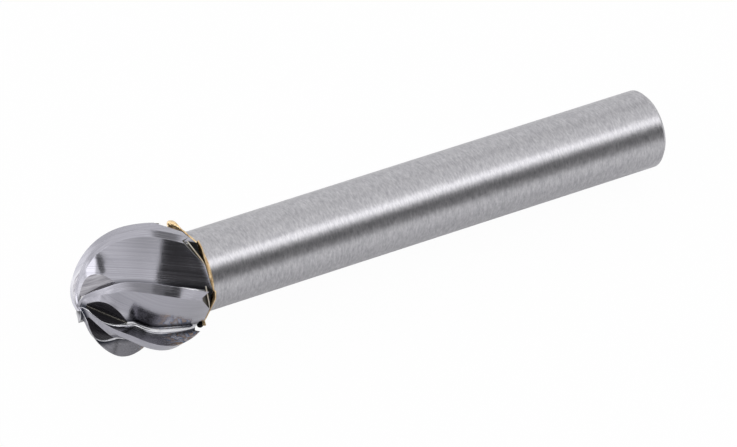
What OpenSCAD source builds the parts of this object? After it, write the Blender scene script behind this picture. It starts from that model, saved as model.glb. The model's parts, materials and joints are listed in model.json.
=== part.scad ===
// Ball burr: a fluted carbide ball brazed to the end of a plain ground steel shank.
// Each piece is drawn on the tool's own axis, tip to shank along +Z, with the ball's centre at zero.
// The last step lays the tool down as it rests: on the ball's teeth and on the rim of the shank's end.

/* [Ball] */
// Diameter of the ball over its cutting edges
ball_d = 10; // [9.4:0.1:12]
// Distance from the ball's centre to the head's flat back
back_set = 4; // [3.2:0.1:4.4]
// Radius of the flatter arc that carries the outline from the ball to the back
back_arc_r = 11.7; // [9:0.1:18]
// Angle from the tip at which that flatter arc starts
back_arc_deg = 100; // [92:1:110]

/* [Teeth] */
// Number of teeth
tooth_count = 6; // [5:1:8]
// Helix angle of the cutting edges, right-hand
helix_deg = 24; // [0:1:35]
// Width of the narrow land behind each cutting edge, at the ball's equator
land_w = 0.85; // [0.4:0.05:1.2]
// Relief angle of that land
land_relief_deg = 7; // [3:0.5:14]
// Depth of the flutes in front of the equator
flute_depth = 1.55; // [0.8:0.05:1.8]
// Angle by which a flute's root lies behind the next cutting edge, which hooks the rake face
root_lead_deg = 5.5; // [0:0.5:7]
// Share of the back face that the root fillet takes; on the rake face it takes twice this share
root_fillet = 0.1; // [0.04:0.01:0.2]
// Hollow of the rake face
rake_hollow = 0.1; // [0:0.01:0.2]
// Angle from the tip at which the flutes begin
flute_start_deg = 25; // [10:1:35]
// Angle from the tip at which the flutes reach their full depth
flute_full_deg = 58; // [45:1:70]
// Angle by which the edges sweep back about the axis where the flutes run out to the tip
tip_sweep_deg = 8.5; // [0:0.5:12]
// Rise of the flute's root away from the axis, where it runs out to the back
runout_deg = 4.6; // [3:0.1:7]
// Least depth of a flute at the back
runout_depth = 0.12; // [0.05:0.01:0.2]

/* [Tip gashes] */
// Distance from the axis at which a tip gash leaves the ball
gash_start_r = 0.85; // [0.6:0.05:1.2]
// Distance from the axis at which a tip gash runs into its flute, measured on the ball
gash_end_r = 3.65; // [3.2:0.05:4]
// Depth of a tip gash where it leaves the ball
gash_start_depth = 0.15; // [0.05:0.01:0.3]
// Depth of a tip gash where it runs into its flute
gash_end_depth = 1.15; // [0.8:0.05:1.3]
// Length by which a gash runs on past that place
gash_run_on = 0.8; // [0.2:0.1:1.1]
// Angle of the gash start behind the cutting edge
gash_start_deg = -10; // [-20:1:0]
// Angle of the gash end behind the cutting edge
gash_end_deg = 2; // [-6:1:8]
// Width of the flat at the bottom of each gash and notch
groove_floor_w = 0.1; // [0.04:0.01:0.2]
// Hook of the gash wall that forms the rake near the tip
gash_rake_deg = 2; // [0:1:14]
// Slope of the gash wall on the side of the tooth in front
gash_back_deg = 72; // [50:1:80]

/* [Rear notches] */
// Distance of a rear notch in front of the back, where it starts ahead of the edge
notch_start_set = 0.8; // [0.6:0.05:0.9]
// The same distance where the notch ends behind the edge
notch_end_set = 0.2; // [0.15:0.05:0.35]
// Depth of a rear notch under the head's outline at its start
notch_start_depth = 0.52; // [0.36:0.02:0.6]
// Depth of a rear notch under the head's outline at its end
notch_end_depth = 0.2; // [0.12:0.02:0.3]
// Angle of the notch start ahead of the cutting edge
notch_start_deg = -8; // [-12:1:-4]
// Angle of the notch end behind the cutting edge
notch_end_deg = 30; // [24:1:34]
// Slope of the notch wall that faces the shank
notch_front_deg = 52; // [40:1:60]
// Slope of the notch wall that faces the tip
notch_rear_deg = 18; // [8:1:28]

/* [Shank] */
// Diameter of the shank
shank_d = 6; // [4:0.1:6.2]
// Length of the shank, from the braze to its free end
shank_len = 40; // [30:1:60]
// Chamfer on the shank's free end
end_chamfer = 0.3; // [0.1:0.05:0.6]

/* [Braze] */
// Thickness of the braze film between the head and the shank
film_t = 0.1; // [0.05:0.01:0.2]
// Height of the braze fillet along the shank
fillet_h = 0.45; // [0.25:0.05:0.8]
// Thickness of the braze at its outer rim
rim_t = 0.16; // [0.1:0.02:0.24]

/* [Rest] */
// Direction about the axis, from a cutting edge at the equator, that faces the floor
down_deg = 34.5; // [30:0.5:40]

/* [Hidden] */
$fn = 96;
ball_r = ball_d / 2;
pitch = 360 / tooth_count;
land_deg = land_w / ball_r * 180 / PI;
land_keep = 1 - land_w * tan(land_relief_deg) / ball_r;
root_r = ball_r - flute_depth;
tip_deg = 6;
step_deg = 3;
rear_rings = 14;
groove_reach = 3;

// Outline of the head
blend_dir = [-cos(back_arc_deg), sin(back_arc_deg)];
blend_z = ball_r * blend_dir[0];
arc_centre = (ball_r - back_arc_r) * blend_dir;
function outline_r(z) = z < blend_z
    ? sqrt(ball_r * ball_r - z * z)
    : arc_centre[1] + sqrt(pow(back_arc_r, 2) - pow(z - arc_centre[0], 2));
rim_r = outline_r(back_set);

// Stations from tip to back: outline and flute root as [z, r], the helix's turn there, and the root's lead
function ease(t) = t <= 0 ? 0 : t >= 1 ? 1 : t * t * (3 - 2 * t);
function turn(p) = tan(helix_deg) * ln(tan(atan2(p[1], -p[0]) / 2)) * 180 / PI;
function root_fade(a) = ease((a - flute_start_deg) / (flute_full_deg - flute_start_deg));
function root_run(a) = root_r / cos(max(0, a - 90 + runout_deg));
function ball_station(a) =
    let (out = [-cos(a), sin(a)])
    [
        ball_r * out,
        mix(ball_r, root_run(a), root_fade(a)) * out,
        turn(out) + tip_sweep_deg * (1 - root_fade(a)),
        root_lead_deg * root_fade(a)
    ];
function rear_station(z) =
    let (r = outline_r(z), run_r = (root_r + z * sin(runout_deg)) / cos(runout_deg))
    [[z, r], [z, min(run_r, r - runout_depth)], turn([z, r]), root_lead_deg];
stations = [
    for (a = [tip_deg:step_deg:90]) ball_station(a),
    for (i = [1:rear_rings]) rear_station(back_set * i / rear_rings)
];

// One tooth's outline at a station: edge, land, back face, root fillet, hollow rake
function at(p, lon) = [p[1] * cos(lon), p[1] * sin(lon), p[0]];
function mix(a, b, t) = a + (b - a) * t;
function bend(a, c, b, t) = mix(mix(a, c, t), mix(c, b, t), t);
function tooth_points(s, lon) =
    let (
        edge = at(s[0], lon),
        land_end = at(s[0] * land_keep, lon + land_deg),
        root = at(s[1], lon + pitch + s[3]),
        next_edge = at(s[0], lon + pitch),
        fillet_a = mix(root, land_end, root_fillet),
        fillet_b = mix(root, next_edge, root_fillet * 2),
        hollow = mix(mix(fillet_b, next_edge, 0.5), root, rake_hollow)
    )
    [
        edge,
        mix(edge, land_end, 0.5),
        for (t = [0:0.25:0.75]) mix(land_end, fillet_a, t),
        for (t = [0, 1 / 3, 2 / 3]) bend(fillet_a, root, fillet_b, t),
        for (t = [0, 1 / 3, 2 / 3]) bend(fillet_b, hollow, next_edge, t)
    ];
function ring(s) = [for (k = [0:tooth_count - 1]) each tooth_points(s, s[2] + k * pitch)];
ball_points = [for (s = stations) each ring(s)];
per_ring = len(ring(stations[0]));
ring_count = len(stations);

module fluted_ball() {
    tip = len(ball_points);
    back = tip + 1;
    last = (ring_count - 1) * per_ring;
    polyhedron(
        points = [each ball_points, [0, 0, -ball_r], [0, 0, back_set]],
        faces = [
            for (i = [0:ring_count - 2], j = [0:per_ring - 1])
                let (a = i * per_ring + j, b = i * per_ring + (j + 1) % per_ring)
                each [[a, a + per_ring, b], [b, a + per_ring, b + per_ring]],
            for (j = [0:per_ring - 1]) [tip, j, (j + 1) % per_ring],
            for (j = [0:per_ring - 1]) [back, last + (j + 1) % per_ring, last + j]
        ]
    );
}

// A straight V groove from p to q, with its walls leaning by the two angles from the outward direction
module v_groove(p, q, side_a, side_b) {
    along = (q - p) / norm(q - p);
    mid = (p + q) / 2;
    out_raw = mid - along * (mid * along);
    out = out_raw / norm(out_raw);
    side = cross(along, out);
    h = groove_reach;
    ends = [p, q];
    hull()
        polyhedron(
            points = [
                for (e = ends) each [
                    e - side * groove_floor_w / 2,
                    e + side * groove_floor_w / 2,
                    e + out * h + side * h * tan(side_a),
                    e + out * h - side * h * tan(side_b)
                ]
            ],
            faces = [[0, 1, 2, 3], [4, 7, 6, 5], [0, 4, 5, 1], [1, 5, 6, 2], [2, 6, 7, 3], [3, 7, 4, 0]]
        );
}

// Tip gash in front of the tooth whose edge is at lon: it deepens from the tip into the flute
function ball_point(r, depth) =
    let (a = asin(r / ball_r))
    (ball_r - depth) / ball_r * [-ball_r * cos(a), r];
function edge_turn(r) = turn(ball_point(r, 0));
module tip_gash(lon) {
    p = at(ball_point(gash_start_r, gash_start_depth), lon + edge_turn(gash_start_r) + gash_start_deg);
    q = at(ball_point(gash_end_r, gash_end_depth), lon + edge_turn(gash_end_r) + gash_end_deg);
    run_on = gash_run_on * (q - p) / norm(q - p);
    v_groove(p, q + run_on, -gash_rake_deg, gash_back_deg);
}

// Rear notch across the corner between a tooth and the head's back
module rear_notch(lon) {
    turn_back = turn([back_set, rim_r]);
    start_z = back_set - notch_start_set;
    end_z = back_set - notch_end_set;
    p = at([start_z, outline_r(start_z) - notch_start_depth], lon + turn_back + notch_start_deg);
    q = at([end_z, outline_r(end_z) - notch_end_depth], lon + turn_back + notch_end_deg);
    v_groove(p, q, notch_front_deg, notch_rear_deg);
}

module head_on_axis() {
    difference() {
        fluted_ball();
        for (k = [0:tooth_count - 1]) {
            tip_gash(k * pitch);
            rear_notch(k * pitch);
        }
    }
}

// Braze: a thin film under the head's back, flush with the lands and back faces, and a fillet on the shank
flush_points = 6;
function rim_points(lon) = [for (i = [0:flush_points - 1]) tooth_points(stations[ring_count - 1], lon)[i]];
module braze_on_axis() {
    shank_r = shank_d / 2;
    chord_deg = pitch + root_lead_deg - land_deg;
    seat_r = max(shank_r + film_t, (rim_r - runout_depth) * cos(chord_deg / 2));
    back_turn = turn([back_set, rim_r]);
    translate([0, 0, back_set])
        difference() {
            linear_extrude(height = rim_t)
                polygon([for (k = [0:tooth_count - 1], p = rim_points(back_turn + k * pitch)) [p[0], p[1]]]);
            translate([0, 0, film_t]) cylinder(h = rim_t, r = shank_r);
        }
    translate([0, 0, back_set + rim_t])
        rotate_extrude()
        polygon([
            [shank_r, 0],
            for (a = [0:15:90]) [mix(seat_r, shank_r, sin(a)), (fillet_h - rim_t) * (1 - cos(a))]
        ]);
}

module shank_on_axis() {
    translate([0, 0, back_set + film_t]) {
        cylinder(h = shank_len - end_chamfer, r = shank_d / 2);
        translate([0, 0, shank_len - end_chamfer])
            cylinder(h = end_chamfer, r1 = shank_d / 2, r2 = shank_d / 2 - end_chamfer);
    }
}

// Rest: the floor touches the lowest tooth point and the rim of the shank's end
end_z = back_set + film_t + shank_len;
foot_z = end_z - end_chamfer;
function down_dir(tilt) = [cos(tilt) * cos(down_deg), cos(tilt) * sin(down_deg), sin(tilt)];
function head_height(tilt) =
    let (d = down_dir(tilt))
    max([for (p = ball_points) p * d]);
function lie(tilt, n) = n == 0 ? tilt : lie(asin((head_height(tilt) - shank_d / 2 * cos(tilt)) / foot_z), n - 1);
tilt_deg = lie(0, 6);
centre_h = head_height(tilt_deg);
end_reach = end_z * cos(tilt_deg) + (shank_d / 2 - end_chamfer) * sin(tilt_deg);
centre_x = (ball_r - end_reach) / 2;

module laid_down() {
    translate([centre_x, 0, centre_h])
        rotate([0, 90 + tilt_deg, 0])
        rotate([0, 0, -down_deg])
        children();
}

module carbide_head() {
    color("slategray") laid_down() head_on_axis();
}

module braze_joint() {
    color("burlywood") laid_down() braze_on_axis();
}

module steel_shank() {
    color("silver") laid_down() shank_on_axis();
}

carbide_head();
braze_joint();
steel_shank();
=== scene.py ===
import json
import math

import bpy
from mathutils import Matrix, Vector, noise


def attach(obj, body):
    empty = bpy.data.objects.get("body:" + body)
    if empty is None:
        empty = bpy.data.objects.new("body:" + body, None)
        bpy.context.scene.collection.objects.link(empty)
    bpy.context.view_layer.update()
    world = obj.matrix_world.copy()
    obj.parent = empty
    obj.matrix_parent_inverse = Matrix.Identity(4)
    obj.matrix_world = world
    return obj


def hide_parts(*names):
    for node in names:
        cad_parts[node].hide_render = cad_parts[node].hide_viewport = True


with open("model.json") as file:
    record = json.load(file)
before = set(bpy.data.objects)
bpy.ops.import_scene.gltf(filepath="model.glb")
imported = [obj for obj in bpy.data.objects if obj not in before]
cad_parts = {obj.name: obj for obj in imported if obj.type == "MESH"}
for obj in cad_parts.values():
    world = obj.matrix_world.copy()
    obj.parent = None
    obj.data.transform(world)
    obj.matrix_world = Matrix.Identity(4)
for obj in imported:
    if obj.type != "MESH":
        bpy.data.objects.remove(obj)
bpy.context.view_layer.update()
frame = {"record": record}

# %% [markdown]
# A ball burr is a small rotary cutter. Three pieces make it: a fluted ball ground from tungsten
# carbide, a plain ground steel shank, and the thin film of silver solder that joins the two.
# It lies on a table on two of its teeth and on the rim of the shank's free end.
# The frame gives the tool's place, so this cell reads its axis from the mount at the shank's end.

# The tool's own measures are in mm: from the ball's centre to the head's flat back, the film of
# solder and the shank. The last value is the angle, from the first tooth's edge, that faces down.
MM = 0.001
BACK_SET = 4.0
FILM_T = 0.1
SHANK_LEN = 40.0
DOWN_DEG = 34.5

mounts = {mount["name"]: mount for mount in frame["record"]["mounts"]}
axis = Vector(mounts["shank_end"]["axis"]).normalized()
end_z = BACK_SET + FILM_T + SHANK_LEN
ball_centre = Vector(mounts["shank_end"]["pos_m"]) - axis * end_z * MM


def about_axis(lon):
    """The direction square to the tool's axis at an angle counted from the first tooth's edge."""
    turn = math.radians(lon - DOWN_DEG)
    to_floor = Vector((axis.z, 0, -axis.x))
    return to_floor * math.cos(turn) + Vector((0, 1, 0)) * math.sin(turn)


def axes_matrix(x_axis, y_axis, z_axis):
    """The turn that carries the world's axes onto these three."""
    return Matrix((x_axis, y_axis, z_axis)).transposed()


tool_turn = axes_matrix(about_axis(0), about_axis(90), axis)
tool_to_frame = Matrix.Translation(ball_centre) @ tool_turn.to_4x4() @ Matrix.Scale(MM, 4)
print("ball centre in mm", [round(x / MM, 3) for x in ball_centre])
print("axis", [round(x, 4) for x in axis])

# %% [markdown]
# The photograph is a long-lens close-up that looks down on the tool. Its camera is written as the
# place of the ball's centre in front of the lens, and as the way the tool's axis and one tooth face
# it. The camera is then put where the tool, as it lies, shows exactly that side.

# %% Camera
# The picture's width and the focal length in pixels, and the usual sensor's width in mm.
FOCAL_PIXELS = 6500
IMAGE_WIDTH = 737
SENSOR_MM = 36
CLIP_START_M = 0.01
# The ball's centre in mm to the right of the lens, below it and in front of it. The tool's axis
# turns up from the picture's right by the yaw and away from the lens by the pitch. The tooth
# nearest to the lens is turned on by the spin.
BALL_FROM_LENS = Vector((-16.4445, 4.7825, 467.208))
AXIS_YAW = math.radians(17.826)
AXIS_PITCH = math.radians(27.633)
TOOTH_SPIN = math.radians(4.41)
PHOTO_TOOTH_LON = -120


def add_object(name, data):
    """A new object that shows this data in the scene."""
    made = bpy.data.objects.new(name, data)
    bpy.context.scene.collection.objects.link(made)
    return made


seen_axis = Vector((
    math.cos(AXIS_YAW) * math.cos(AXIS_PITCH),
    -math.sin(AXIS_YAW) * math.cos(AXIS_PITCH),
    math.sin(AXIS_PITCH),
))
to_lens = Vector((0, 0, -1))
seen_front = (to_lens - to_lens.dot(seen_axis) * seen_axis).normalized()
seen_side = seen_axis.cross(seen_front)
seen_tooth = seen_front * math.cos(TOOTH_SPIN) + seen_side * math.sin(TOOTH_SPIN)
seen = axes_matrix(seen_tooth, seen_axis.cross(seen_tooth), seen_axis)
real = axes_matrix(about_axis(PHOTO_TOOTH_LON), about_axis(PHOTO_TOOTH_LON + 90), axis)
lens_turn = real @ seen.transposed()

camera_data = bpy.data.cameras.new("close_up")
camera_data.sensor_width = SENSOR_MM
camera_data.lens = FOCAL_PIXELS / IMAGE_WIDTH * SENSOR_MM
camera_data.clip_start = CLIP_START_M
camera = add_object("close_up", camera_data)
flip = Matrix.Diagonal((1, -1, -1))
camera.matrix_world = (
    Matrix.Translation(ball_centre - lens_turn @ BALL_FROM_LENS * MM) @ (lens_turn @ flip).to_4x4()
)
bpy.context.scene.camera = camera
print("camera at mm", [round(x / MM) for x in camera.matrix_world.translation])

# %% [markdown]
# The head's outline is a true ball up to a little behind its equator, and a flatter arc from there
# to the flat back. The flutes start near the tip, reach their full depth before the equator and
# rise again to the back. Each station along the axis holds the outline, the flute's root and how
# far the helix has turned. On a ball a helix of one constant angle turns with a logarithm.

# %% Stations along the head
# The outline in mm: a ball, and behind it an arc. Angles of a station are counted from the tip.
BALL_R = 5.0
BACK_ARC_R = 11.7
BACK_ARC_START = math.radians(100)
# The teeth, with their pitch in degrees.
TEETH = 6
PITCH = 360 / TEETH
HELIX = math.radians(24)
# The flute's root: its distance from the axis, where the flute starts and where it is full, and
# how the root rises towards the back, where it stays at least RUNOUT_DEPTH below the outline.
ROOT_R = BALL_R - 1.55
FLUTE_START = math.radians(25)
FLUTE_FULL = math.radians(58)
RUNOUT = math.radians(4.6)
RUNOUT_DEPTH = 0.12
# How far the edge is swept on at the tip and the root is ahead of the next edge, in degrees.
TIP_SWEEP = 8.5
ROOT_LEAD = 5.5

blend_z = -BALL_R * math.cos(BACK_ARC_START)
arc_centre_z = -(BALL_R - BACK_ARC_R) * math.cos(BACK_ARC_START)
arc_centre_r = (BALL_R - BACK_ARC_R) * math.sin(BACK_ARC_START)


def outline_r(z):
    """Distance from the axis to the outline, at a place along the axis from the ball's centre."""
    if z < blend_z:
        return math.sqrt(BALL_R**2 - z**2)
    return arc_centre_r + math.sqrt(BACK_ARC_R**2 - (z - arc_centre_z) ** 2)


def ease(t):
    """A soft step from 0 to 1."""
    t = min(max(t, 0), 1)
    return t * t * (3 - 2 * t)


def helix_turn(z, r):
    """Degrees that an edge of constant helix angle has turned, counted from the equator."""
    return math.degrees(math.tan(HELIX) * math.log(math.tan(math.atan2(r, -z) / 2)))


def ball_station(angle):
    """Outline z and r, root z and r, helix turn and root's lead, at an angle from the tip."""
    fade = ease((angle - FLUTE_START) / (FLUTE_FULL - FLUTE_START))
    run = ROOT_R / math.cos(max(0, angle - math.pi / 2 + RUNOUT))
    root = BALL_R + (run - BALL_R) * fade
    z, r = -math.cos(angle), math.sin(angle)
    turn = helix_turn(z, r) + TIP_SWEEP * (1 - fade)
    return BALL_R * z, BALL_R * r, root * z, root * r, turn, ROOT_LEAD * fade


def rear_station(z):
    """The same six values behind the equator, at a place along the axis."""
    r = outline_r(z)
    run = (ROOT_R + z * math.sin(RUNOUT)) / math.cos(RUNOUT)
    return z, r, z, min(run, r - RUNOUT_DEPTH), helix_turn(z, r), ROOT_LEAD


# The first station stands a little behind the tip.
FIRST_DEG = 2
BALL_STEPS = 90
REAR_STEPS = 44
from_tip_deg = [FIRST_DEG + (90 - FIRST_DEG) * i / BALL_STEPS for i in range(BALL_STEPS + 1)]
stations = [ball_station(math.radians(angle)) for angle in from_tip_deg]
stations += [rear_station(BACK_SET * (i + 1) / REAR_STEPS) for i in range(REAR_STEPS)]
print(len(stations), "stations, rim radius", round(outline_r(BACK_SET), 3), "mm")

# %% [markdown]
# A grinding wheel leaves each tooth with four faces. From the cutting edge backwards they are the
# narrow land, a broad straight face that falls to the root, the root's small round, and the
# hollow rake of the next tooth. They could be cut from a ball with a swept wheel, but a profile
# across one tooth, worked out at each station, gives cleaner edges.

# %% Faces across a tooth
# The land's width in mm, and its fall behind the edge.
LAND_W = 0.85
LAND_RELIEF = math.radians(7)
LAND_DEG = math.degrees(LAND_W / BALL_R)
LAND_KEEP = 1 - LAND_W * math.tan(LAND_RELIEF) / BALL_R
# The share of the broad face that the root's round takes, and twice that share of the rake.
# The second share is how far the rake's middle is drawn towards the root.
ROOT_FILLET = 0.1
RAKE_HOLLOW = 0.1
LAND, BROAD, ROUND, RAKE, BACK, GASH, GASH_RAKE, NOTCH, FLOOR = range(9)
LAND_STEPS, BROAD_STEPS, ROUND_STEPS, RAKE_STEPS = 6, 14, 10, 10
SPANS = ((LAND, LAND_STEPS), (BROAD, BROAD_STEPS), (ROUND, ROUND_STEPS), (RAKE, RAKE_STEPS))


def at(z, r, lon):
    """A point from its place along the axis, its distance from it and its angle round it."""
    return Vector((r * math.cos(math.radians(lon)), r * math.sin(math.radians(lon)), z))


def bend(a, middle, b, t):
    """A point on the curve from a to b that the middle point pulls towards itself."""
    return a.lerp(middle, t).lerp(middle.lerp(b, t), t)


def tooth_profile(station):
    """The points across one tooth, from its cutting edge to the next one's."""
    z, r, root_z, root_r, turn, lead = station
    edge, next_edge = at(z, r, turn), at(z, r, turn + PITCH)
    land_end = at(z * LAND_KEEP, r * LAND_KEEP, turn + LAND_DEG)
    root = at(root_z, root_r, turn + PITCH + lead)
    round_a = root.lerp(land_end, ROOT_FILLET)
    round_b = root.lerp(next_edge, ROOT_FILLET * 2)
    hollow = round_b.lerp(next_edge, 0.5).lerp(root, RAKE_HOLLOW)
    faces = {
        LAND: lambda t: edge.lerp(land_end, t),
        BROAD: lambda t: land_end.lerp(round_a, t),
        ROUND: lambda t: bend(round_a, root, round_b, t),
        RAKE: lambda t: bend(round_b, hollow, next_edge, t),
    }
    return [faces[kind](i / count) for kind, count in SPANS for i in range(count)] + [next_edge]


kinds_across = [kind for kind, count in SPANS for i in range(count)]
rings = [tooth_profile(station) for station in stations]
print(len(kinds_across), "faces across a tooth at each of", len(rings), "stations")

# %% [markdown]
# A wheel's scratches follow its path. On the broad faces they are straight, as a flat wheel leaves
# them, and elsewhere they follow the flute. An image wrapped on the head would stretch, so each
# corner of the mesh keeps its own place instead: in millimetres across the grinding lines, along
# them, and as a third number on the way from the root. Each face also keeps a number for its kind.

# %% Places on the ground faces
from_edge_mm = []
for ring in rings:
    row = [0.0]
    for a, b in zip(ring, ring[1:]):
        row.append(row[-1] + (b - a).length)
    from_edge_mm.append(row)
along_mm = [0.0]
for a, b in zip(rings, rings[1:]):
    along_mm.append(along_mm[-1] + (b[0] - a[0]).length)


def add_marks(mesh, kinds, places):
    """Stores each face's kind, and for each corner its place on the face in mm."""
    kind = mesh.attributes.new("face_kind", "FLOAT", "FACE")
    kind.data.foreach_set("value", [float(k) for k in kinds])
    place = mesh.attributes.new("ground_mm", "FLOAT_VECTOR", "CORNER")
    place.data.foreach_set("vector", [x for corner in places for x in corner])


def line_directions():
    """Directions along and across the straight grinding lines of the broad face."""
    middle = math.radians(PITCH / 2)
    round_it = Vector((-math.sin(middle), math.cos(middle), 0))
    run = round_it * math.sin(HELIX) + Vector((0, 0, math.cos(HELIX)))
    widest = rings[BALL_STEPS]
    fall = widest[LAND_STEPS + BROAD_STEPS] - widest[LAND_STEPS]
    return run, (fall - run * fall.dot(run)).normalized()


LINE_RUN, LINE_ACROSS = line_directions()
ROOT_COLUMN = LAND_STEPS + BROAD_STEPS + ROUND_STEPS // 2


def ground_place(row, column, kind):
    """A corner's place across and along the grinding lines and its way from the root, in mm."""
    across = from_edge_mm[row][column]
    from_root = abs(across - from_edge_mm[row][ROOT_COLUMN])
    if kind == BROAD:
        point = rings[row][column]
        return point.dot(LINE_ACROSS), point.dot(LINE_RUN), from_root
    if kind != LAND:
        across -= from_edge_mm[row][-1]
    return across, along_mm[row], from_root


print("lines on the broad face run along", [round(x, 3) for x in LINE_RUN])
print("a tooth's edge is", round(along_mm[-1], 2), "mm long")

# %% [markdown]
# One tooth is one strip of mesh from tip to back, with the rake of the next tooth at its end.
# A fan of triangles closes it at the tip and another at the flat back, so that six turned copies
# make one closed ball without a gap.

# %% One tooth
# The height of a groove's prism in mm. As a way from the root it stands for far away from it.
REACH = 3.0


def smooth_mesh(name, points, faces):
    """A new mesh from points and faces, shaded smooth."""
    mesh = bpy.data.meshes.new(name)
    mesh.from_pydata(points, [], faces)
    mesh.shade_smooth()
    return mesh


def tooth_mesh():
    """The strip from tip to back, closed by a fan at both ends."""
    count = len(rings[0])
    points = [point for ring in rings for point in ring]
    tip, back = len(points), len(points) + 1
    points += [Vector((0, 0, -BALL_R)), Vector((0, 0, BACK_SET))]
    faces, kinds, places = [], [], []
    for i in range(len(rings) - 1):
        for j in range(count - 1):
            a, b = i * count + j, i * count + j + 1
            faces.append((a, b, b + count, a + count))
            kinds.append(kinds_across[j])
            for row, column in ((i, j), (i, j + 1), (i + 1, j + 1), (i + 1, j)):
                places.append(ground_place(row, column, kinds_across[j]))
    last = (len(rings) - 1) * count
    for j in range(count - 1):
        faces += [(tip, j + 1, j), (back, last + j, last + j + 1)]
        kinds += [LAND, BACK]
        places += [(0, 0, REACH)] * 6
    mesh = smooth_mesh("tooth", points, faces)
    add_marks(mesh, kinds, places)
    return mesh


tooth = add_object("tooth", tooth_mesh())
tooth_width = from_edge_mm[BALL_STEPS][-1]
print("one tooth:", len(tooth.data.polygons), "faces,", round(tooth_width, 2), "mm across")

# %% [markdown]
# Near the tip the flutes leave no room for chips, so a thin wheel cuts a straight gash in front of
# each tooth. A second small cut, a notch, takes the corner off each tooth at the back, where the
# braze would otherwise stand in the wheel's way. Both are straight V grooves, so each cutter
# is one prism with a narrow flat bottom.

# %% Gash and notch cutters
# The width of the grooves' flat bottom in mm.
FLOOR_W = 0.1
# Each end of a gash: distance from the axis and depth below the ball in mm, and the angle from
# the cutting edge in degrees. The gash runs on a little beyond the second end.
GASH_ENDS = ((0.85, 0.15, -10), (3.65, 1.15, 2))
GASH_RUNS_ON = 0.8
# A notch from its start, which lies ahead of the flat back, to its end in the back.
NOTCH_AHEAD = 0.5
NOTCH_DEPTHS = (0.6, 0.46)
NOTCH_TURNS = (-8, 30)
# How far the two walls of each groove lean away from straight out, in degrees.
GASH_LEANS = (-2, 72)
NOTCH_LEANS = (42, 60)


def place_on_ball(r, depth, lon):
    """A point below the ball's surface, with lon counted from the cutting edge there."""
    angle = math.asin(r / BALL_R)
    keep = BALL_R - depth
    z, r = -math.cos(angle), math.sin(angle)
    return at(keep * z, keep * r, helix_turn(z, r) + lon)


gash_start, gash_end = (place_on_ball(*end) for end in GASH_ENDS)
gash_end += (gash_end - gash_start).normalized() * GASH_RUNS_ON
gash_out = (gash_start + gash_end) / 2
rear_turn = helix_turn(BACK_SET, outline_r(BACK_SET))
notch_start, notch_end = (
    at(z, outline_r(z) - depth, rear_turn + turn)
    for z, depth, turn in zip((BACK_SET - NOTCH_AHEAD, BACK_SET), NOTCH_DEPTHS, NOTCH_TURNS))
notch_out = (notch_start + notch_end) / 2 * Vector((1, 1, 0))
GROOVES = (
    (gash_start, gash_end, gash_out, *GASH_LEANS, GASH_RAKE, GASH),
    (notch_start, notch_end, notch_out, *NOTCH_LEANS, NOTCH, NOTCH),
)


def groove_prism(start, end, outward, lean_a, lean_b, kind_a, kind_b):
    """Points, faces, kinds and corner places of a V groove's prism."""
    along = (end - start).normalized()
    out = (outward - along * outward.dot(along)).normalized()
    side = along.cross(out)
    shape = (
        side * -FLOOR_W / 2,
        side * FLOOR_W / 2,
        out * REACH + side * REACH * math.tan(math.radians(lean_a)),
        out * REACH - side * REACH * math.tan(math.radians(lean_b)),
    )
    points = [end_point + corner for end_point in (start, end) for corner in shape]
    faces = [(0, 1, 2, 3), (4, 7, 6, 5), (0, 4, 5, 1), (1, 5, 6, 2), (2, 6, 7, 3), (3, 7, 4, 0)]
    kinds = [kind_b, kind_b, FLOOR, kind_a, kind_b, kind_b]
    places = []
    for face in faces:
        for corner in face:
            point = points[corner] - start
            places.append((point.dot(out), point.dot(along), REACH))
    return points, faces, kinds, places


def cutter_mesh():
    """One gash and one notch as one mesh."""
    points, faces, kinds, places = [], [], [], []
    for groove in GROOVES:
        new_points, new_faces, new_kinds, new_places = groove_prism(*groove)
        faces += [tuple(i + len(points) for i in face) for face in new_faces]
        points += new_points
        kinds += new_kinds
        places += new_places
    mesh = smooth_mesh("grooves", points, faces)
    add_marks(mesh, kinds, places)
    return mesh


cutter = add_object("grooves", cutter_mesh())
print("gash", round((gash_end - gash_start).length, 2), "mm long,",
      "notch", round((notch_end - notch_start).length, 2), "mm long")

# %% [markdown]
# Every surface here gets its colour and gloss from shader nodes. A few small helpers keep the
# materials short: one turns a colour as a picture editor writes it into the linear numbers that
# Blender works with, one adds a node with its settings and links, and two start and end a material.

# %% Helpers for node trees


def linear(hex_colour):
    """An sRGB colour such as '8A8B93' as linear red, green, blue and alpha, by the sRGB formula."""
    parts = [int(hex_colour[i:i + 2], 16) / 255 for i in (0, 2, 4)]
    return [x / 12.92 if x <= 0.04045 else ((x + 0.055) / 1.055) ** 2.4 for x in parts] + [1]


def add_node(tree, kind, inputs=None, **settings):
    """A node of that kind; an input that is a socket is linked, any other is set."""
    made = tree.nodes.new(kind)
    for name, value in settings.items():
        setattr(made, name, value)
    for name, value in (inputs or {}).items():
        if isinstance(value, bpy.types.NodeSocket):
            tree.links.new(value, made.inputs[name])
        else:
            made.inputs[name].default_value = value
    return made


def new_material(name):
    """An empty material and its node tree."""
    material = bpy.data.materials.new(name)
    material.use_nodes = True
    material.node_tree.nodes.clear()
    return material, material.node_tree


def finish_material(tree, surface, bump=None):
    """Links the bump and the output of a material's last node."""
    if bump is not None:
        tree.links.new(bump, surface.inputs["Normal"])
    add_node(tree, "ShaderNodeOutputMaterial", {"Surface": surface.outputs["BSDF"]})


print("a mid grey", [round(x, 3) for x in linear("808080")])

# %% [markdown]
# The rake is polished along the flute, and towards the back it holds stains from coolant and heat:
# blue, peach and grey patches, which are a cloudy noise turned into faint tints. Its front part is
# a plain darker grey, which is painted shade. In the corner beside each root a dark tone is painted
# as shade, and it is placed by the way from the root that the mesh keeps.

# %% Stain and painted shade
# Clouds per mm across the flute and along it, so that the patches are drawn out along it.
CLOUDS_PER_MM = (1.3, 0.5, 1)
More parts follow.
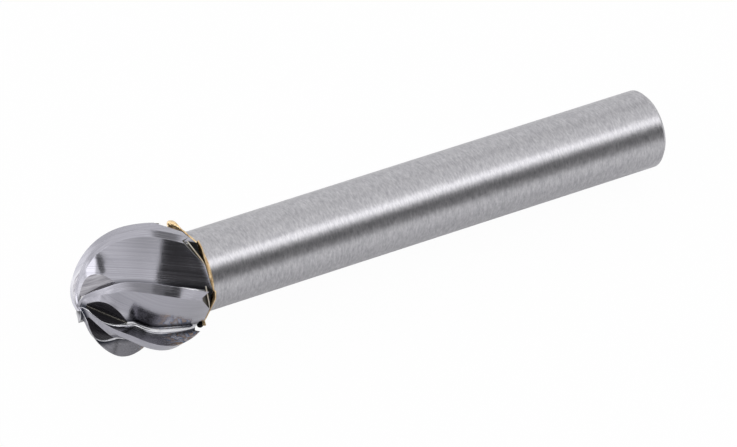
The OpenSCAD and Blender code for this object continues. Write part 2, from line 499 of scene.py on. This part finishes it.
# The noise's values at the stain's edges, where the metal is clean, and at its tints in between.
CLEAN_STOPS = (0.40, 0.62)
STAIN_STOPS = (0.46, 0.51, 0.56)
STAIN_TONES = ("86A8CA", "FBDDBC", "C2B5A8")
# The stain starts and is full at these places along the flute, in mm from the tip.
STAIN_FROM_MM, STAIN_FULL_MM = 7.8, 9.0
# The rake's front part: a plain darker grey, painted shade.
FRONT_SHADE_TONE = "8C8B91"
# The painted shade beside the root hides the metal for the first share of its reach, and thins
# out over the rest.
ROOT_SHADE_TONE = "2A2C36"
ROOT_SHADE_SOLID = 0.35


def stained(tree, place, colour):
    """The rake's colour: patches of faint tints at the back, and a plain darker grey in front,
    painted shade.
    """
    drawn_out = add_node(tree, "ShaderNodeMapping", {"Vector": place, "Scale": CLOUDS_PER_MM})
    cloud = add_node(tree, "ShaderNodeTexNoise", {
        "Vector": drawn_out.outputs["Vector"], "Scale": 1.0, "Detail": 1.5, "Distortion": 2.0})
    tint = add_node(tree, "ShaderNodeValToRGB", {"Fac": cloud.outputs["Fac"]})
    for element, position in zip(tint.color_ramp.elements, CLEAN_STOPS):
        element.position = position
        element.color = (1, 1, 1, 1)
    for position, tone in zip(STAIN_STOPS, STAIN_TONES):
        tint.color_ramp.elements.new(position).color = linear(tone)
    mixed = add_node(tree, "ShaderNodeMix", {
        "Factor": 1.0, "A": colour, "B": tint.outputs["Color"]},
        data_type="RGBA", blend_type="MULTIPLY")
    place_parts = add_node(tree, "ShaderNodeSeparateXYZ", {"Vector": place})
    rear_share = add_node(tree, "ShaderNodeMapRange", {
        "Value": place_parts.outputs["Y"], "From Min": STAIN_FROM_MM, "From Max": STAIN_FULL_MM})
    faded = add_node(tree, "ShaderNodeMix", {
        "Factor": rear_share.outputs["Result"],
        "A": linear(FRONT_SHADE_TONE), "B": mixed.outputs["Result"]}, data_type="RGBA")
    return faded.outputs["Result"]


def painted_shade_in_root(tree, place, colour, reach_mm):
    """Painted shade in the corner beside the root, which thins out up the face."""
    place_parts = add_node(tree, "ShaderNodeSeparateXYZ", {"Vector": place})
    clean_share = add_node(tree, "ShaderNodeMapRange", {
        "Value": place_parts.outputs["Z"],
        "From Min": ROOT_SHADE_SOLID * reach_mm, "From Max": reach_mm})
    mixed = add_node(tree, "ShaderNodeMix", {
        "Factor": clean_share.outputs["Result"], "A": linear(ROOT_SHADE_TONE), "B": colour},
        data_type="RGBA")
    return mixed.outputs["Result"]


print("stain over", STAIN_FROM_MM, "to", STAIN_FULL_MM, "mm along the flute")

# %% [markdown]
# Tungsten carbide is a hard, heavy, blue-grey metal compound. A diamond wheel grinds it to a satin
# that is really a bundle of fine parallel scratches: smooth along them, rough across them. They
# are drawn as noise on the places that the mesh keeps, stretched along the lines. On the broad
# faces the lines are about 0.05 mm apart. That is coarser than real ones, which are a few
# thousandths of a millimetre and too fine to show. The same noise sets shade, gloss and bump.

# %% Ground carbide
# A noise node's values mostly lie between these two.
NOISE_LOW, NOISE_HIGH = 0.36, 0.64
LINE_MM = 0.05
# A second, coarser set of lines, as the scale of the first and as a share of the whole.
COARSER = (0.22, 0.5, 1)
COARSER_SHARE = 0.15
# The gloss runs from the first to the second of these times the roughness.
GLOSS_SPREAD = (0.7, 2.0)
SCRATCH_DEPTH_MM = 0.006
WORN_EDGE_MM = 0.05


def ground_carbide(
        name, colours, roughness, line_mm, streak_mm, bump_strength, root_shade_mm=0, stain=False):
    """Ground metal in a dark and a light shade, whose lines follow the face."""
    material, tree = new_material(name)
    place = add_node(tree, "ShaderNodeAttribute", attribute_name="ground_mm")
    fine = add_node(tree, "ShaderNodeMapping", {
        "Vector": place.outputs["Vector"], "Scale": (1 / line_mm, 1 / streak_mm, 0)})
    fine_lines = add_node(tree, "ShaderNodeTexNoise", {
        "Vector": fine.outputs["Vector"], "Scale": 1.0, "Detail": 3.0, "Roughness": 0.7})
    coarse = add_node(tree, "ShaderNodeVectorMath", {
        0: fine.outputs["Vector"], 1: COARSER}, operation="MULTIPLY")
    coarse_lines = add_node(tree, "ShaderNodeTexNoise", {
        "Vector": coarse.outputs["Vector"], "Scale": 1.0, "Detail": 1.0})
    both = add_node(tree, "ShaderNodeMix", {
        "Factor": COARSER_SHARE, "A": fine_lines.outputs["Fac"], "B": coarse_lines.outputs["Fac"]})
    lines = both.outputs["Result"]
    shade = add_node(tree, "ShaderNodeValToRGB", {"Fac": lines})
    for element, position, tone in zip(
            shade.color_ramp.elements, (NOISE_LOW, NOISE_HIGH), colours):
        element.position = position
        element.color = linear(tone)
    colour = shade.outputs["Color"]
    if stain:
        colour = stained(tree, place.outputs["Vector"], colour)
    # Painted shade darkens the corner beside the root.
    if root_shade_mm:
        colour = painted_shade_in_root(tree, place.outputs["Vector"], colour, root_shade_mm)
    gloss = add_node(tree, "ShaderNodeMapRange", {
        "Value": lines, "From Min": NOISE_LOW, "From Max": NOISE_HIGH,
        "To Min": roughness * GLOSS_SPREAD[0], "To Max": roughness * GLOSS_SPREAD[1]})
    worn_edge = add_node(tree, "ShaderNodeBevel", {"Radius": WORN_EDGE_MM * MM}, samples=4)
    bump = add_node(tree, "ShaderNodeBump", {
        "Height": lines, "Strength": bump_strength, "Distance": SCRATCH_DEPTH_MM * MM,
        "Normal": worn_edge.outputs["Normal"]})
    surface = add_node(tree, "ShaderNodeBsdfPrincipled", {
        "Base Color": colour, "Metallic": 1.0, "Roughness": gloss.outputs["Result"]})
    finish_material(tree, surface, bump.outputs["Normal"])
    return material


print("finest grinding lines", LINE_MM, "mm apart")

# %% [markdown]
# The head went through several wheels, so its faces differ: satin where a fine wheel ran over the
# broad faces and lands, polished in the flutes and coarse in the tip's gashes. The flutes are also
# painted brighter, with painted light on the rakes and a painted glint on the roots, and the
# gashes' steep walls are painted dark as painted shade. Each is the same ground carbide with its
# own shades, roughness and lines. Line and streak are the lines' spacing and length in mm, and
# every spacing is coarser than that of real scratches.

# %% Carbide finishes
# The broad faces: long straight lines that draw reflections out, over a mirror that is only dulled.
satin_carbide = ground_carbide(
    "satin_ground_carbide", ("9C9BA4", "B9B8C0"), roughness=0.09,
    line_mm=LINE_MM, streak_mm=16.0, bump_strength=0.45, root_shade_mm=0.8)
# The lands: an even, pale satin band beside each cutting edge, with hardly a line to be seen.
land_carbide = ground_carbide(
    "fine_ground_carbide", ("A4A3AC", "B8B7BF"), roughness=0.12,
    line_mm=LINE_MM, streak_mm=1.5, bump_strength=0.3)
# The rakes: brighter, as painted light against the hollow flute's shade, and softer, so that the
# stain's tints show.
polished_carbide_painted_light = ground_carbide(
    "polished_carbide_painted_light", ("C6C6CC", "DCDCE0"), roughness=0.18,
    line_mm=0.12, streak_mm=1.2, bump_strength=0.3, root_shade_mm=0.6, stain=True)
# The roots' rounds: polished, with a paler base that paints a thin white glint along the bottom of
# each flute.
root_glint_carbide = ground_carbide(
    "polished_root_painted_glint", ("CFCFD4", "E6E6EA"), roughness=0.12,
    line_mm=0.12, streak_mm=1.2, bump_strength=0.1)
# The gashes' wide walls: clear single scratches from a coarser wheel.
gash_carbide = ground_carbide(
    "coarse_ground_carbide", ("817F86", "C2C0C5"), roughness=0.1,
    line_mm=0.1, streak_mm=4.0, bump_strength=0.9)
# The gashes' steep walls: painted dark as painted shade, with a dull sheen.
shade_painted_carbide = ground_carbide(
    "dark_ground_carbide", ("2E2D30", "48474A"), roughness=0.16,
    line_mm=0.09, streak_mm=3.0, bump_strength=0.5)
# The grooves' flat bottoms: a thin warm bright line between the dark walls.
bright_carbide = ground_carbide(
    "bright_groove_bottom", ("B9B4AA", "D8D3C8"), roughness=0.3,
    line_mm=0.09, streak_mm=3.0, bump_strength=0.3)
print("carbide finishes:", [made.name for made in (
    satin_carbide, land_carbide, polished_carbide_painted_light, root_glint_carbide, gash_carbide, shade_painted_carbide,
    bright_carbide)])

# %% [markdown]
# Silver solder only flows with flux, a paste that keeps the metal clean. What isn't washed off
# burns to a crust. In the notches beside the joint it is painted darkest at the bottom and paler up
# the walls as painted shade, so its colour follows the height above the notch's bottom that the
# mesh keeps.

# %% Burnt flux and painted shade
# Heights above a groove's bottom, in mm, between which the painted shade fades from black to grey.
SHADE_DARKEST_MM, SHADE_FADED_MM = 0.15, 0.7
FLUX_SHADE_TONES = ("0C0C0C", "5A5751")


def flux_with_painted_shade():
    """Flux burned in the notches: matt black, with painted shade that is darkest at the bottom."""
    material, tree = new_material("black_flux_with_painted_shade")
    place = add_node(tree, "ShaderNodeAttribute", attribute_name="ground_mm")
    height = add_node(tree, "ShaderNodeSeparateXYZ", {"Vector": place.outputs["Vector"]})
    shade = add_node(tree, "ShaderNodeValToRGB", {"Fac": height.outputs["X"]})
    for element, position, tone in zip(
            shade.color_ramp.elements, (SHADE_DARKEST_MM, SHADE_FADED_MM), FLUX_SHADE_TONES):
        element.position = position
        element.color = linear(tone)
    surface = add_node(tree, "ShaderNodeBsdfPrincipled", {
        "Base Color": shade.outputs["Color"], "Roughness": 0.55, "Specular IOR Level": 0.2})
    finish_material(tree, surface)
    return material


# The notches' walls: matt black flux, with painted shade that is darkest at the bottom, beside the
# gold of the solder.
flux_and_shade = flux_with_painted_shade()
print("flux is thick up to", SHADE_DARKEST_MM, "mm")

# %% [markdown]
# The six teeth and their grooves are the same shape turned about the axis, which is what Geometry
# Nodes does well. The tree puts one tooth on each of six points, joins the strips into a closed
# ball, cuts it with six turned copies of the groove prisms, and gives each kind of face its
# finish. Working in millimetres keeps the cut exact, and the result is scaled once at the end.

# %% Geometry Nodes: the fluted head
# Corners closer than this, in mm, are made one, and a face's kind may be off by the tolerance.
MERGE_MM = 0.0002
KIND_TOLERANCE = 0.3


def turned_copies(tree, source, count):
    """Copies of a geometry, turned evenly about the z axis."""
    points = add_node(tree, "GeometryNodePoints", {"Count": count, "Position": (0, 0, 0)})
    index = add_node(tree, "GeometryNodeInputIndex")
    share = add_node(tree, "ShaderNodeMath", {0: math.tau, 1: count}, operation="DIVIDE")
    turn = add_node(tree, "ShaderNodeMath", {0: index.outputs[0], 1: share.outputs[0]},
                    operation="MULTIPLY")
    euler = add_node(tree, "ShaderNodeCombineXYZ", {"Z": turn.outputs[0]})
    copies = add_node(tree, "GeometryNodeInstanceOnPoints", {
        "Points": points.outputs[0], "Instance": source, "Rotation": euler.outputs[0]})
    made = add_node(tree, "GeometryNodeRealizeInstances", {"Geometry": copies.outputs[0]})
    return made.outputs[0]


def head_tree():
    """The node tree that turns one tooth and one set of grooves into the whole head."""
    tree = bpy.data.node_groups.new("fluted_head", "GeometryNodeTree")
    for name, kind in (("Tooth", "Geometry"), ("Teeth", "Int"), ("Grooves", "Object")):
        tree.interface.new_socket(name, in_out="INPUT", socket_type="NodeSocket" + kind)
    tree.interface.new_socket("Head", in_out="OUTPUT", socket_type="NodeSocketGeometry")
    given = add_node(tree, "NodeGroupInput").outputs
    ball = add_node(tree, "GeometryNodeMergeByDistance", {
        "Geometry": turned_copies(tree, given["Tooth"], given["Teeth"]), "Distance": MERGE_MM})
    tool = add_node(tree, "GeometryNodeObjectInfo", {"Object": given["Grooves"]})
    cut = add_node(tree, "GeometryNodeMeshBoolean", {
        "Mesh 1": ball.outputs[0],
        "Mesh 2": turned_copies(tree, tool.outputs["Geometry"], given["Teeth"]),
        "Self Intersection": True}, operation="DIFFERENCE", solver="EXACT")
    shape = cut.outputs["Mesh"]
    kind = add_node(
        tree, "GeometryNodeInputNamedAttribute", {"Name": "face_kind"}, data_type="FLOAT")
    finishes = ((LAND, land_carbide), (BROAD, satin_carbide), (ROUND, root_glint_carbide),
                (RAKE, polished_carbide_painted_light), (BACK, satin_carbide), (GASH, gash_carbide),
                (GASH_RAKE, shade_painted_carbide), (NOTCH, flux_and_shade), (FLOOR, bright_carbide))
    for number, material in finishes:
        same = add_node(tree, "FunctionNodeCompare", {
            "A": kind.outputs["Attribute"], "B": float(number), "Epsilon": KIND_TOLERANCE},
            data_type="FLOAT", operation="EQUAL")
        shape = add_node(tree, "GeometryNodeSetMaterial", {
            "Geometry": shape, "Selection": same.outputs[0], "Material": material}).outputs[0]
    add_node(tree, "NodeGroupOutput", {"Head": shape})
    return tree


def plain_mesh(source, name):
    """The evaluated result of an object's modifiers as a mesh of its own."""
    depsgraph = bpy.context.evaluated_depsgraph_get()
    mesh = bpy.data.meshes.new_from_object(source.evaluated_get(depsgraph))
    mesh.name = name
    return mesh


tree = head_tree()
modifier = tooth.modifiers.new("fluted_head", "NODES")
modifier.node_group = tree
sockets = {item.name: item.identifier for item in tree.interface.items_tree}
modifier[sockets["Teeth"]] = TEETH
modifier[sockets["Grooves"]] = cutter
head_mesh = plain_mesh(tooth, "fluted_head")
bpy.data.objects.remove(tooth)
bpy.data.objects.remove(cutter)
print("head:", len(head_mesh.polygons), "faces, materials",
      [material.name for material in head_mesh.materials if material])

# %% [markdown]
# The head is moved into the frame. Its fine mesh would bulge past the coarser solid by a few
# thousandths of a millimetre, so it is made smaller by one part in two thousand. Edges
# where two ground faces meet are kept crisp, and all others are shaded smooth.

# %% Head in place
CRISP = math.radians(16)
SHRINK = 0.9995


def to_frame(mesh, shrink=1.0):
    """Moves a mesh from the tool's own millimetres into the frame."""
    mesh.transform(tool_to_frame @ Matrix.Scale(shrink, 4))
    mesh.set_sharp_from_angle(angle=CRISP)
    mesh.update()


def add_piece(name, mesh, node):
    """The finished piece in place of its solid, riding on the only body."""
    piece = add_object(name, mesh)
    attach(piece, "root")
    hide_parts(node)
    return piece


to_frame(head_mesh, SHRINK)
head = add_piece("fluted_head", head_mesh, "carbide_head")
print("head spans mm", [round(x / MM, 2) for x in head.dimensions])

# %% [markdown]
# The shank is turned and then ground between wheels while it spins, so its scratches run round it.
# A cylinder could stand for it, but a lathe profile swept about the axis also gives it the small
# chamfer at the free end, which is there to let it slip into a collet.

# %% Shape of the shank
SHANK_R = 3.0
CHAMFER = 0.3
CHAMFER_STOPS = (0.1, 0.5, 0.9)
SHANK_SIDES = 160
SHANK_ROWS = 40


def lathe_mesh(name, profile, sides):
    """A closed shape swept about the axis; the profile is (r, z) from axis to axis."""
    points, faces = [], []
    for r, z in profile[1:-1]:
        points += [at(z, r, 360 * k / sides) for k in range(sides)]
    rows = len(profile) - 2
    for i in range(rows - 1):
        for k in range(sides):
            a, b = i * sides + k, i * sides + (k + 1) % sides
            faces.append((a, b, b + sides, a + sides))
    faces.append(tuple(reversed(range(sides))))
    faces.append(tuple(range((rows - 1) * sides, rows * sides)))
    return smooth_mesh(name, points, faces)


def shank_profile():
    """From the joint along the body and over the chamfer to the middle of the free end."""
    foot, end = BACK_SET + FILM_T, end_z
    body_length = end - CHAMFER - foot
    body = [(SHANK_R, foot + body_length * i / SHANK_ROWS) for i in range(SHANK_ROWS + 1)]
    chamfer = [(SHANK_R - CHAMFER * t, end - CHAMFER + CHAMFER * t) for t in CHAMFER_STOPS]
    return [(0, foot)] + body + chamfer + [(SHANK_R - CHAMFER, end), (0, end)]


shank_mesh = lathe_mesh("ground_shank", shank_profile(), SHANK_SIDES)
print("shank:", len(shank_mesh.polygons), "faces")

# %% [markdown]
# The steel's scratches overlap to a fine mottle, which blurs reflections more than it shows lines.
# It is drawn as noise with grains about 0.14 mm long along the axis and 0.45 mm across it, much
# coarser than the real ones, which are too fine to show. The pattern has to run round the shank's
# own axis, so the coordinates are turned back onto it first.

# %% Shank
GRAINS_PER_MM = (2.2, 2.2, 7)
GRAIN_LOW, GRAIN_HIGH = 0.3, 0.7
# In the troughs and on the crests of the grain.
STEEL_TONES = ("9E9DA2", "C8C7CA")
STEEL_ROUGHNESS = (0.28, 0.35)
GRAIN_DEPTH_MM = 0.004


def tool_space(tree):
    """Object coordinates turned back onto the tool's own axis, in millimetres."""
    place = add_node(tree, "ShaderNodeTexCoord")
    turned = add_node(tree, "ShaderNodeMapping", {
        "Vector": place.outputs["Object"], "Location": ball_centre,
        "Rotation": tool_turn.to_euler(), "Scale": (MM, MM, MM)}, vector_type="TEXTURE")
    return turned.outputs["Vector"]


def ground_steel():
    """Hardened steel, centreless ground: a soft silver with blurred streaks and a fine mottle."""
    material, tree = new_material("centreless_ground_steel")
    place = tool_space(tree)
    grain_at = add_node(tree, "ShaderNodeMapping", {"Vector": place, "Scale": GRAINS_PER_MM})
    grain = add_node(tree, "ShaderNodeTexNoise", {
        "Vector": grain_at.outputs["Vector"], "Scale": 1.0, "Detail": 4.0, "Roughness": 0.7})
    shade = add_node(tree, "ShaderNodeValToRGB", {"Fac": grain.outputs["Fac"]})
    for element, position, tone in zip(
            shade.color_ramp.elements, (GRAIN_LOW, GRAIN_HIGH), STEEL_TONES):
        element.position = position
        element.color = linear(tone)
    gloss = add_node(tree, "ShaderNodeMapRange", {
        "Value": grain.outputs["Fac"], "From Min": GRAIN_LOW, "From Max": GRAIN_HIGH,
        "To Min": STEEL_ROUGHNESS[0], "To Max": STEEL_ROUGHNESS[1]})
    bump = add_node(tree, "ShaderNodeBump", {
        "Height": grain.outputs["Fac"], "Strength": 0.8, "Distance": GRAIN_DEPTH_MM * MM})
    surface = add_node(tree, "ShaderNodeBsdfPrincipled", {
        "Base Color": shade.outputs["Color"], "Metallic": 1.0,
        "Roughness": gloss.outputs["Result"]})
    finish_material(tree, surface, bump.outputs["Normal"])
    return material


shank_mesh.materials.append(ground_steel())
to_frame(shank_mesh)
shank = add_piece("ground_shank", shank_mesh, "steel_shank")
print("shank spans mm", [round(x / MM, 2) for x in shank.dimensions])

# %% [markdown]
# Silver solder is drawn into the joint as a gold-coloured liquid. It freezes as a thin uneven bead
# on the head's rim, with a few drops, and as a hollow fillet on the shank. The bead follows the
# rim of the fluted back, so its path is that of the last station, with drops added as smooth bumps
# at chosen places round the rim.

# %% Rim and drops
# The bead's height above the rim in mm, its waviness and its waves per radian.
BEAD_H = 0.01
WAVE_H = 0.015
WAVES = 6
LEAST_H = 0.004
# Each drop: its angle round the axis and its half width in degrees, and its height in mm.
DROPS = (
    (-214, 7, 0.26),
    (-204, 7, 0.08),
    (-185, 5, 0.05),
    (-112, 9, 0.05),
    (-25, 4, 0.2),
    (60, 12, 0.06),
)


def rim_radius(lon):
    """Distance from the axis to the head's back rim in one direction."""
    local = (lon - stations[-1][4]) % PITCH
    places = [(math.degrees(math.atan2(p.y, p.x)) - stations[-1][4]) % 360 for p in rings[-1][:-1]]
    places.append(PITCH)
    for k in range(len(places) - 1):
        if places[k] <= local <= places[k + 1]:
            t = (local - places[k]) / (places[k + 1] - places[k])
            return rings[-1][k].xy.length * (1 - t) + rings[-1][k + 1].xy.length * t
    return rings[-1][-1].xy.length


def drop_height(lon):
    """How far the bead stands above the rim in one direction."""
    height = BEAD_H + WAVE_H * noise.noise(Vector((math.radians(lon) * WAVES, 0, 0)))
    for middle, width, size in DROPS:
        away = (lon - middle + 180) % 360 - 180
        height += size * math.exp(-((away / width) ** 2))
    return max(height, LEAST_H)


rim_radii = [rim_radius(lon) for lon in range(360)]
print("rim from", round(min(rim_radii), 2), "to", round(max(rim_radii), 2), "mm from the axis")

# %% [markdown]
# The whole bead is one closed ring with a section at each degree: half a circle on the rim, then
# the quarter round of the fillet. A larger drop laps over the rim onto the head, and a stretch of
# the ring is covered with burnt flux. A swept tube would be quicker, but it can't hold a fillet.

# %% Shape of the bead
BRAZE_SIDES = 360
# In mm: the bead's thickness, the fillet's height and how far from the axis it reaches at most,
# how far inside the rim the ring starts, and how far inside the shank it ends.
RIM_T = 0.11
FILLET_H = 0.45
SEAT_R = 3.45
INSET = 0.1
SINK = 0.02
BEAD_STEPS = 6
FILLET_STEPS = 8
# A drop swells the bead by a share of its height, and above the limit in mm it laps over the rim.
SWELL = 0.5
LAP_LIMIT = 0.05
LAP_SHARE = 1.5
# The stretch round the rim, in degrees, that burnt flux covers.
BLACK_FROM, BLACK_TO = 328, 342


def braze_ring(lon):
    """The section in one direction: the round bead, the hollow fillet and the film's end."""
    rim, drop = rim_radius(lon), drop_height(lon)
    seat = min(rim - INSET, SEAT_R)
    lap = max(0, drop - LAP_LIMIT) * LAP_SHARE
    thick = RIM_T + drop * SWELL + lap
    path = [(rim - INSET, BACK_SET - lap)]
    for k in range(BEAD_STEPS + 1):
        a = math.pi * (k / BEAD_STEPS - 0.5)
        path.append((rim + drop - thick / 2 + thick / 2 * math.cos(a),
                     BACK_SET - lap + thick / 2 * (1 + math.sin(a))))
    for k in range(1, FILLET_STEPS + 1):
        a = math.pi / 2 * k / FILLET_STEPS
        path.append((seat + (SHANK_R - seat) * math.sin(a),
                     BACK_SET + RIM_T + (FILLET_H - RIM_T) * (1 - math.cos(a))))
    path.append((SHANK_R - SINK, BACK_SET + FILM_T))
    return [at(z, r, lon) for r, z in path]


def braze_mesh():
    """The sections joined to one closed ring, with the flux on its stretch."""
    rows = [braze_ring(360 * k / BRAZE_SIDES) for k in range(BRAZE_SIDES)]
    count = len(rows[0])
    points = [point for row in rows for point in row]
    faces = []
    for k in range(BRAZE_SIDES):
        following = (k + 1) % BRAZE_SIDES
        for j in range(count):
            above = (j + 1) % count
            faces.append((k * count + j, following * count + j,
                          following * count + above, k * count + above))
    mesh = smooth_mesh("braze_bead", points, faces)
    for face in mesh.polygons:
        ring = face.index // count
        face.material_index = int(BLACK_FROM <= ring * 360 / BRAZE_SIDES <= BLACK_TO)
    return mesh


bead_mesh = braze_mesh()
print("bead:", len(bead_mesh.polygons), "faces")

# %% [markdown]
# Frozen silver solder is a soft yellow metal. Where it wetted the joint well it is bright gold,
# and where flux burned beside it, it is browner and duller. A cloudy noise mixes the two in
# blotches a little over half a millimetre wide, and a finer one gives the skin its small lumps. The
# black drop has the notches' flux, which is black all over on a mesh that keeps no places.

# %% Braze
SOLDER_TONES = ("A27C4C", "F4D9AC")
TONE_STOPS = (0.32, 0.62)
BLOTCHES_PER_MM = 1.6
LUMPS_PER_MM = 9.0
LUMP_H_MM = 0.03
# The roughness of the brown and of the gold.
DULL, BRIGHT = 0.45, 0.22


def frozen_solder():
    """Silver solder: a bright gold that catches the light, browner and duller in patches."""
    material, tree = new_material("frozen_silver_solder")
    place = tool_space(tree)
    cloud = add_node(tree, "ShaderNodeTexNoise", {
        "Vector": place, "Scale": BLOTCHES_PER_MM, "Detail": 4.0, "Roughness": 0.6})
    shade = add_node(tree, "ShaderNodeValToRGB", {"Fac": cloud.outputs["Fac"]})
    for element, position, tone in zip(shade.color_ramp.elements, TONE_STOPS, SOLDER_TONES):
        element.position = position
        element.color = linear(tone)
    gloss = add_node(tree, "ShaderNodeMapRange", {
        "Value": cloud.outputs["Fac"], "From Min": GRAIN_LOW, "From Max": GRAIN_HIGH,
        "To Min": DULL, "To Max": BRIGHT})
    lumps = add_node(tree, "ShaderNodeTexNoise", {
        "Vector": place, "Scale": LUMPS_PER_MM, "Detail": 3.0})
    bump = add_node(tree, "ShaderNodeBump", {
        "Height": lumps.outputs["Fac"], "Strength": 0.6, "Distance": LUMP_H_MM * MM})
    surface = add_node(tree, "ShaderNodeBsdfPrincipled", {
        "Base Color": shade.outputs["Color"], "Metallic": 1.0,
        "Roughness": gloss.outputs["Result"]})
    finish_material(tree, surface, bump.outputs["Normal"])
    return material


bead_mesh.materials.append(frozen_solder())
bead_mesh.materials.append(flux_and_shade)
to_frame(bead_mesh)
bead = add_piece("braze_bead", bead_mesh, "braze_joint")
print("braze spans mm", [round(x / MM, 2) for x in bead.dimensions])

# %% [markdown]
# Polished and ground metal shows its surroundings more than its own colour, so the studio is part
# of the look. A white acrylic board carries the tool. The lens sees it nearly as plain white, and
# the rest of what it sees is the board with the tool's soft shadow on it. The metal's reflections
# see mostly the board. Beside the head it has a round bright patch that only reflections see,
# where a photographer would lay a lit card to lighten the lower side of a cutter.

# %% Table
# In metres: half the board's width, the bright patch's middle, and the distances from it at which
# its soft edge starts and is full. Its level is how much brighter than white it is.
FLOOR_HALF = 2.0
PANEL_AT = (-0.027, 0.016, 0)
PANEL_FROM, PANEL_FULL = 0.017, 0.011
PANEL_LEVEL = 0.5
# The shares of plain white in what the lens and what the metal's reflections see of the board.
LENS_SHARE = 0.97
METAL_SHARE = 0.1

corners = [(x * FLOOR_HALF, y * FLOOR_HALF, 0) for x, y in ((-1, -1), (1, -1), (1, 1), (-1, 1))]
floor_mesh = smooth_mesh("table", corners, [(0, 1, 2, 3)])
floor = add_object("table", floor_mesh)


def white_table():
    """Acrylic board: clean and softly glossy, and whiter to the lens than its light makes it."""
    material, tree = new_material("white_acrylic_board")
    ray = add_node(tree, "ShaderNodeLightPath")
    board = add_node(tree, "ShaderNodeBsdfPrincipled", {
        "Base Color": linear("F4F4F5"), "Roughness": 0.2, "IOR": 1.49})
    place = add_node(tree, "ShaderNodeTexCoord").outputs["Object"]
    away = add_node(tree, "ShaderNodeVectorMath", {0: place, 1: PANEL_AT}, operation="DISTANCE")
    panel = add_node(tree, "ShaderNodeMapRange", {
        "Value": away.outputs["Value"], "From Min": PANEL_FROM, "From Max": PANEL_FULL,
        "To Min": 0.0, "To Max": 1.0})
    on_panel = add_node(tree, "ShaderNodeMath", {
        0: panel.outputs["Result"], 1: ray.outputs["Is Glossy Ray"]}, operation="MULTIPLY")
    strength = add_node(tree, "ShaderNodeMath", {
        0: on_panel.outputs[0], 1: PANEL_LEVEL, 2: 1.0}, operation="MULTIPLY_ADD")
    glow = add_node(tree, "ShaderNodeEmission", {
        "Color": (1, 1, 1, 1), "Strength": strength.outputs[0]})
    lens_share = add_node(tree, "ShaderNodeMath", {
        0: ray.outputs["Is Camera Ray"], 1: LENS_SHARE}, operation="MULTIPLY")
    share = add_node(tree, "ShaderNodeMath", {
        0: ray.outputs["Is Glossy Ray"], 1: METAL_SHARE, 2: lens_share.outputs[0]},
        operation="MULTIPLY_ADD")
    glow_share = add_node(tree, "ShaderNodeMath", {
        0: share.outputs[0], 1: on_panel.outputs[0]}, operation="MAXIMUM")
    mixed = add_node(tree, "ShaderNodeMixShader", {
        "Fac": glow_share.outputs[0], 1: board.outputs[0], 2: glow.outputs[0]})
    add_node(tree, "ShaderNodeOutputMaterial", {"Surface": mixed.outputs[0]})
    return material


floor_mesh.materials.append(white_table())
print("table", FLOOR_HALF * 2, "m wide")

# %% [markdown]
# The room is white all round, as a product photographer's tent is. What gives the metal its shape
# is where the tent is darker: the opening on one side, where the camera and the room are, and a
# few seams and clips at the back. One wall is brighter, where a lamp lights it from outside.
# Each part is a soft-edged spot in one direction, and the lens sees plain white.

# %% The room
# The tent's own brightness, and that of the white that the lens sees.
TENT = 1.0
PLAIN_WHITE = 1.0
# Each spot: its azimuth and elevation, its inner and outer size in degrees, and its brightness.
PATCHES = (
    (-112, 36, 20, 44, 0.5),
    (-84, 44, 10, 17, 0.25),
    (-49, 46, 18, 20, 0.05),
    (-57, 28, 8, 14, 0.1),
    (-28, 0, 6, 16, 0.3),
    (42, 23, 6, 13, 0.3),
    (157, 14, 28, 34, 2.2),
    (173, 50, 3, 7, 0.2),
    (161, 56, 5, 9, 0.2),
    (145, 59, 5, 9, 0.2),
    (130, 61, 5, 9, 0.2),
)


def sky_direction(azimuth, elevation):
    """The unit direction at two angles in degrees."""
    a, e = math.radians(azimuth), math.radians(elevation)
    return math.cos(a) * math.cos(e), math.sin(a) * math.cos(e), math.sin(e)


def room():
    """A light room with soft-edged brighter and darker parts in chosen directions."""
    world = bpy.data.worlds.new("studio_room")
    world.use_nodes = True
    tree = world.node_tree
    tree.nodes.clear()
    way = add_node(tree, "ShaderNodeTexCoord").outputs["Generated"]
    level = None
    for azimuth, elevation, inner, outer, brightness in PATCHES:
        dot = add_node(tree, "ShaderNodeVectorMath", {
            0: way, 1: sky_direction(azimuth, elevation)}, operation="DOT_PRODUCT")
        inside = add_node(tree, "ShaderNodeMapRange", {
            "Value": dot.outputs["Value"],
            "From Min": math.cos(math.radians(outer)), "From Max": math.cos(math.radians(inner))},
            interpolation_type="SMOOTHSTEP")
        level = add_node(tree, "ShaderNodeMix", {
            "Factor": inside.outputs["Result"], "A": TENT if level is None else level,
            "B": brightness}).outputs["Result"]
    ray = add_node(tree, "ShaderNodeLightPath")
    seen_level = add_node(tree, "ShaderNodeMix", {
        "Factor": ray.outputs["Is Camera Ray"], "A": level, "B": PLAIN_WHITE})
    air = add_node(tree, "ShaderNodeBackground", {
        "Color": (1, 1, 1, 1), "Strength": seen_level.outputs["Result"]})
    add_node(tree, "ShaderNodeOutputWorld", {"Surface": air.outputs[0]})
    bpy.context.scene.world = world


room()
bpy.context.scene.view_settings.view_transform = "Standard"
print("room with", len(PATCHES), "patches")

# %% [markdown]
# One softbox hangs over the tool. It draws the bright streak along the shank and throws the soft
# shadow. Its size and distance make it about nineteen degrees wide, as seen from the tool.

# %% Softbox
SOFTBOX_AZIMUTH, SOFTBOX_ELEVATION = -22, 58
SOFTBOX_AWAY_M = 0.6
SOFTBOX_WIDTH_M = 0.2
SOFTBOX_WATTS = 0.265

light = bpy.data.lights.new("overhead_softbox", "AREA")
light.shape = "SQUARE"
light.size = SOFTBOX_WIDTH_M
light.energy = SOFTBOX_WATTS
lamp = add_object("overhead_softbox", light)
to_lamp = Vector(sky_direction(SOFTBOX_AZIMUTH, SOFTBOX_ELEVATION))
lamp.location = to_lamp * SOFTBOX_AWAY_M
lamp.rotation_euler = to_lamp.to_track_quat("Z", "Y").to_euler()
softbox_deg = math.degrees(2 * math.atan(SOFTBOX_WIDTH_M / 2 / SOFTBOX_AWAY_M))
print("one softbox,", round(softbox_deg), "degrees wide")
